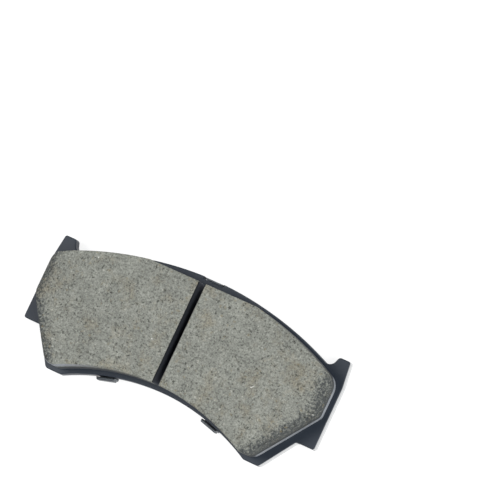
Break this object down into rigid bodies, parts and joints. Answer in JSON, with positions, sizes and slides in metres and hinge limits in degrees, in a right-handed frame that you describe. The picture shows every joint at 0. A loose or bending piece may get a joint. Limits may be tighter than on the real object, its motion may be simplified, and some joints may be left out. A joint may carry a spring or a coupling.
{
  "type": "disc brake pad",
  "caption": "Disc brake pad: curved steel backing plate with bracket ears, slotted two-block friction lining with relieved ends, and a clip-on shim stack on the back.",
  "frame": {"origin": "middle of the plate outline, on the plane of the outer shim's back face", "axes": "+X along the pad, the way the disc sweeps; +Y away from the disc centre; +Z from the shims through the plate to the friction face"},
  "size_m": [0.137, 0.061, 0.0185],
  "materials": {
    "coated_plate_steel": "satin blue-grey powder coat over blanked steel",
    "phenolic_adhesive": "cured dark phenolic film",
    "underlayer_composite": "pale moulded skin",
    "friction_composite": "ground, speckled grey-green composite",
    "pressure_adhesive": "tacky film",
    "shim_rubber": "matt calendered rubber facing",
    "shim_core_steel": "cold-rolled sheet",
    "outer_shim_steel": "dull grey treated sheet"
  },
  "bodies": {
    "root": {"backing_plate": "coated_plate_steel", "bonding_film_left": "phenolic_adhesive", "bonding_film_right": "phenolic_adhesive", "underlayer_left": "underlayer_composite", "underlayer_right": "underlayer_composite", "friction_block_left": "friction_composite", "friction_block_right": "friction_composite", "shim_adhesive": "pressure_adhesive", "shim_rubber_front": "shim_rubber", "inner_shim": "shim_core_steel", "shim_rubber_back": "shim_rubber", "outer_shim": "outer_shim_steel"}
  },
  "joints": []
}
